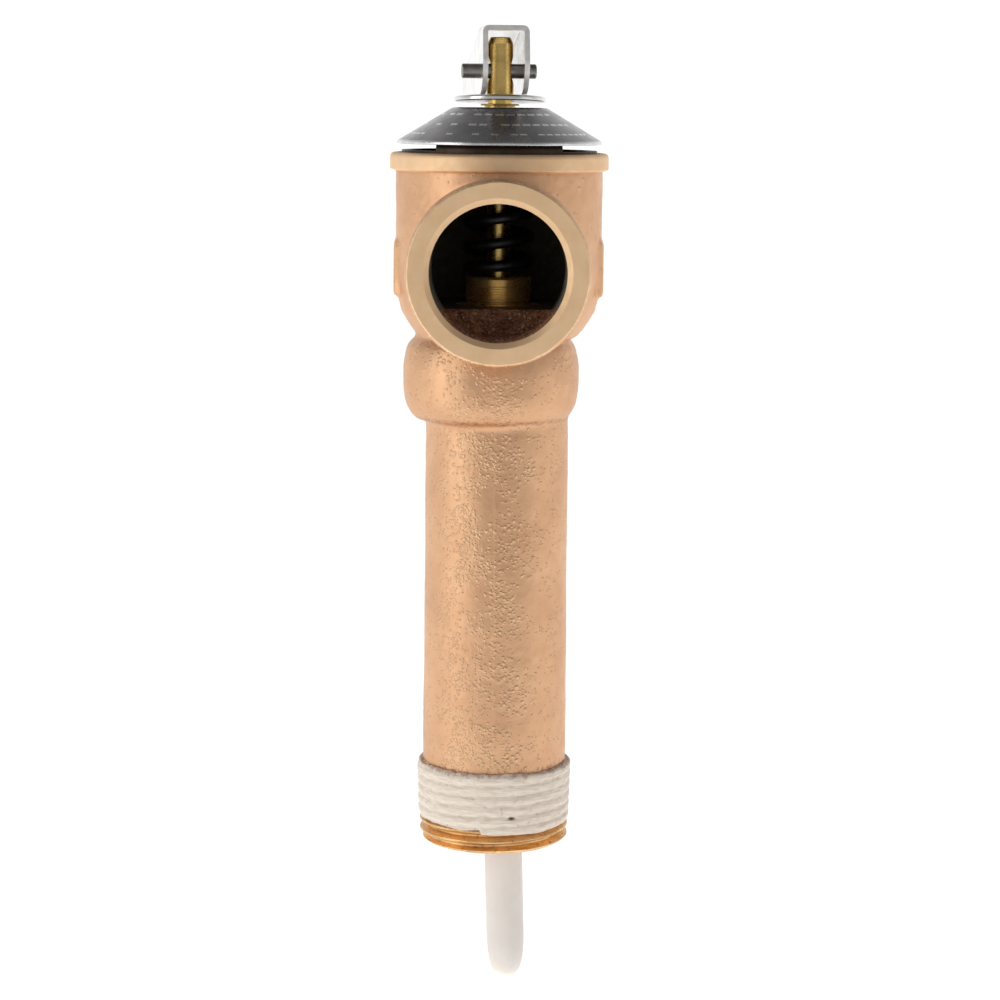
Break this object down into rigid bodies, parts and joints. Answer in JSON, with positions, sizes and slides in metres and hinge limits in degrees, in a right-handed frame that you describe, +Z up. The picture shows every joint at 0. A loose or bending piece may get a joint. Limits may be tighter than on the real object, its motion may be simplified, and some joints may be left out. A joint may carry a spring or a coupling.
{
  "type": "pressure relief valve",
  "caption": "Water-heater temperature and pressure relief valve: long bronze shank, side outlet, test lever and coated thermal probe.",
  "frame": {"origin": "centre of the inlet's end face, on the valve's axis", "axes": "+Z up the valve's axis from the inlet to the lever; the outlet faces -Y; +X is to the right seen from the outlet's side"},
  "size_m": [0.0374, 0.0563, 0.1668],
  "materials": {
    "cast_bronze": "as-cast satin bronze, machined on the rim, the outlet ring and the threads",
    "turned_brass": "turned, bright",
    "bright_steel": "stamped, bright zinc plating",
    "pin_steel": "ground steel, grey",
    "dark_steel": "dark brown coating",
    "spring_steel": "black spring coating, satin",
    "black_plate": "black satin print on thin aluminium",
    "white_coating": "smooth white polymer coating",
    "seal_rubber": "moulded rubber",
    "copper_tube": "drawn copper",
    "wax": "wax filling"
  },
  "bodies": {
    "root": {"valve_body": "cast_bronze", "bonnet": "dark_steel", "nameplate": "black_plate", "bonnet_eyelet": "turned_brass", "spring_seat": "dark_steel", "relief_spring": "spring_steel", "thermostat_case": "turned_brass", "thermostat_guide": "turned_brass", "guide_nut": "turned_brass", "piston_seal": "seal_rubber", "probe_sheath": "white_coating", "sensing_tube": "copper_tube", "thermal_charge": "wax"},
    "swivel": {"lever_washer": "bright_steel"},
    "stem_disc": {"stem": "turned_brass", "lever_pin": "pin_steel", "disc_holder": "turned_brass", "seat_disc": "seal_rubber", "disc_retainer": "turned_brass", "retainer_screw": "turned_brass"},
    "lever_arm": {"lever": "bright_steel"},
    "piston": {"thermostat_piston": "pin_steel"}
  },
  "joints": [
    {"name": "lever_swivel", "type": "hinge", "parent": "root", "child": "swivel", "pos_m": [0, 0, 0.129], "axis": [0, 0, 1], "continuous": true},
    {"name": "stem_lift", "type": "slide", "parent": "swivel", "child": "stem_disc", "axis": [0, 0, 1], "range_m": [0, 0.00262], "deforming": ["relief_spring"]},
    {"name": "lever_pull", "type": "hinge", "parent": "stem_disc", "child": "lever_arm", "pos_m": [0, 0, 0.1337], "axis": [0.9936, 0.1132, 0], "range_deg": [0, 75], "stiffness_Nm_per_rad": 0.11, "springref_deg": -103.13},
    {"name": "thermostat_stroke", "type": "slide", "parent": "root", "child": "piston", "axis": [0, 0, 1], "range_m": [0, 0.001]}
  ],
  "couplings": [
    {"joint": "lever_pull", "follows": "stem_lift", "rad_per_m": 500}
  ]
}
